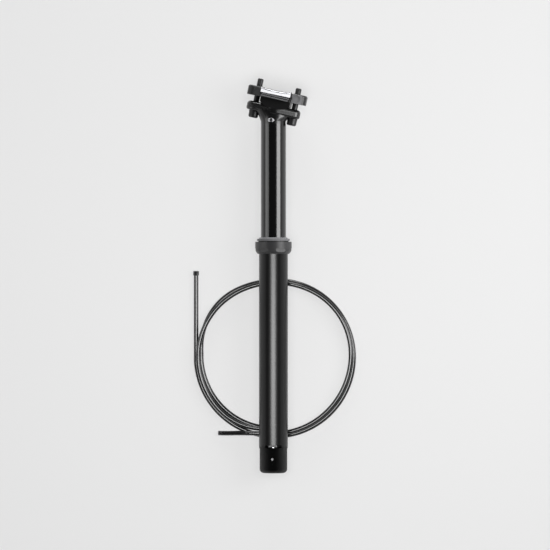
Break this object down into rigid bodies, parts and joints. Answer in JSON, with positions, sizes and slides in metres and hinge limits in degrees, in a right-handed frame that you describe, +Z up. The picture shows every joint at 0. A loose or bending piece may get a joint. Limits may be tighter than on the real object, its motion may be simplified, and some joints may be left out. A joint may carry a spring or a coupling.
{
  "type": "dropper seatpost",
  "caption": "Telescoping bicycle seatpost with a two-bolt saddle clamp, cable-released stroke and coiled cable housing.",
  "frame": {"origin": "on the bench, under the middle of the lying post's box", "axes": "+Y along the post from its foot to the saddle clamp, +X towards the saddle's nose, +Z up from the bench that the post lies on"},
  "size_m": [0.1795, 0.432, 0.0538],
  "materials": {
    "black_anodised": "satin black anodised",
    "stanchion_black": "smooth hard black anodised",
    "collar_black": "fine blasted black anodised",
    "forged_black": "forged and anodised black",
    "clamp_black": "black anodised with bright machined flanks",
    "bolt_black": "black oxide",
    "bright_steel": "bright turned",
    "bright_alloy": "bright machined",
    "brass": "machined",
    "black_composite": "moulded black composite",
    "dark_polymer": "low-friction polymer",
    "black_rubber": "moulded wiper rubber",
    "ferrule_black": "moulded",
    "housing_sheath": "smooth extruded sheath"
  },
  "bodies": {
    "lower_post": {"outer_tube": "black_anodised", "foot_housing": "black_composite", "lever_pivot_pin": "bright_steel", "cartridge_rod": "bright_steel", "rod_nut": "bright_alloy", "rod_piston": "dark_polymer", "upper_bushing": "dark_polymer", "seal_collar": "collar_black", "wiper_seal": "black_rubber", "housing_ferrule": "ferrule_black", "housing_lead": "housing_sheath", "housing_coil": "housing_sheath", "second_housing_lead": "housing_sheath", "second_housing_coil": "housing_sheath"},
    "upper_post": {"stanchion": "stanchion_black", "guide_keys": "brass", "lower_bushing": "dark_polymer", "cartridge_tube": "bright_alloy", "cartridge_plug": "bright_alloy", "cartridge_cap": "bright_alloy", "cartridge_clip": "bright_steel", "top_out_bumper": "black_rubber", "seat_head": "forged_black", "neck_screw": "bright_steel"},
    "saddle_clamp": {"lower_cradle": "clamp_black", "upper_clamp": "clamp_black"},
    "lever": {"release_lever": "bright_alloy", "cable_barrel": "bright_steel"},
    "valve": {"valve_plunger": "bright_steel"},
    "rear_bolt": {"rear_clamp_bolt": "bolt_black", "rear_domed_washer": "bolt_black"},
    "front_bolt": {"front_clamp_bolt": "bolt_black", "front_domed_washer": "bolt_black"},
    "rear_nut": {"rear_barrel_nut": "clamp_black"},
    "front_nut": {"front_barrel_nut": "clamp_black"}
  },
  "joints": [
    {"name": "post_drop", "type": "slide", "parent": "lower_post", "child": "upper_post", "axis": [0, 1, 0], "range_m": [-0.12, 0]},
    {"name": "saddle_tilt", "type": "hinge", "parent": "upper_post", "child": "saddle_clamp", "pos_m": [0.00286, 0.20814, 0.0269], "axis": [0, 0, -1], "range_deg": [-4, 4]},
    {"name": "rear_bolt_swing", "type": "hinge", "parent": "upper_post", "child": "rear_bolt", "pos_m": [-0.02618, 0.17496, 0.0269], "axis": [0, 0, -1], "range_deg": [-2, 2]},
    {"name": "front_bolt_swing", "type": "hinge", "parent": "upper_post", "child": "front_bolt", "pos_m": [0.01588, 0.16602, 0.0269], "axis": [0, 0, -1], "range_deg": [-2, 2]},
    {"name": "rear_nut_swivel", "type": "hinge", "parent": "saddle_clamp", "child": "rear_nut", "pos_m": [-0.02048, 0.20176, 0.0269], "axis": [0, 0, -1], "range_deg": [-6, 6]},
    {"name": "front_nut_swivel", "type": "hinge", "parent": "saddle_clamp", "child": "front_nut", "pos_m": [0.02158, 0.19282, 0.0269], "axis": [0, 0, -1], "range_deg": [-6, 6]},
    {"name": "valve_lift", "type": "slide", "parent": "lower_post", "child": "valve", "axis": [0, 1, 0], "range_m": [0, 0.00104], "stiffness_N_per_m": 200},
    {"name": "lever_turn", "type": "hinge", "parent": "lower_post", "child": "lever", "pos_m": [-0.00388, -0.20065, 0.0269], "axis": [0, 0, -1], "range_deg": [0, 12]}
  ],
  "couplings": [
    {"joint": "rear_bolt_swing", "follows": "saddle_tilt", "ratio": -0.40511},
    {"joint": "front_bolt_swing", "follows": "saddle_tilt", "ratio": -0.40511},
    {"joint": "rear_nut_swivel", "follows": "saddle_tilt", "ratio": -1.4051},
    {"joint": "front_nut_swivel", "follows": "saddle_tilt", "ratio": -1.4051},
    {"joint": "lever_turn", "follows": "valve_lift", "rad_per_m": 200}
  ]
}
